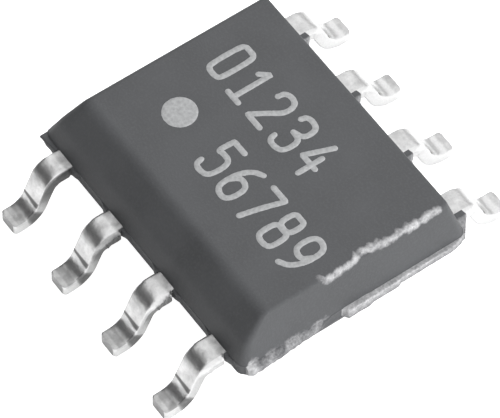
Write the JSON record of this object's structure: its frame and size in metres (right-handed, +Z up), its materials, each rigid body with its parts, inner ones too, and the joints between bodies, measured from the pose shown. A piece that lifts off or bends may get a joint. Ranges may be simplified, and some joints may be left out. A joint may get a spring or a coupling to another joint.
{
  "type": "small-outline integrated circuit package",
  "caption": "Small-outline chip package: drafted black moulding with one bevelled long side, gull-wing leads along both long sides, and a die bonded inside.",
  "frame": {"origin": "on the seating plane, under the middle of the package", "axes": "+X along the rows of leads, -Y towards the bevelled side with leads 1 to 4, +Z up from the board"},
  "size_m": [0.0051, 0.006, 0.0016],
  "materials": {
    "moulding_resin": "matte dark grey epoxy resin",
    "tinned_lead": "satin tin plating on copper",
    "leadframe_copper": "bare copper alloy",
    "silver_adhesive": "cured silver-filled adhesive",
    "silicon": "polished silicon",
    "gold_wire": "drawn gold"
  },
  "bodies": {
    "root": {"body": "moulding_resin", "lead_1": "tinned_lead", "lead_2": "tinned_lead", "lead_3": "tinned_lead", "lead_4": "tinned_lead", "lead_5": "tinned_lead", "lead_6": "tinned_lead", "lead_7": "tinned_lead", "lead_8": "tinned_lead", "die_pad": "leadframe_copper", "die_attach": "silver_adhesive", "die": "silicon", "bond_wire_1": "gold_wire", "bond_wire_2": "gold_wire", "bond_wire_3": "gold_wire", "bond_wire_4": "gold_wire", "bond_wire_5": "gold_wire", "bond_wire_6": "gold_wire", "bond_wire_7": "gold_wire", "bond_wire_8": "gold_wire"}
  },
  "joints": []
}
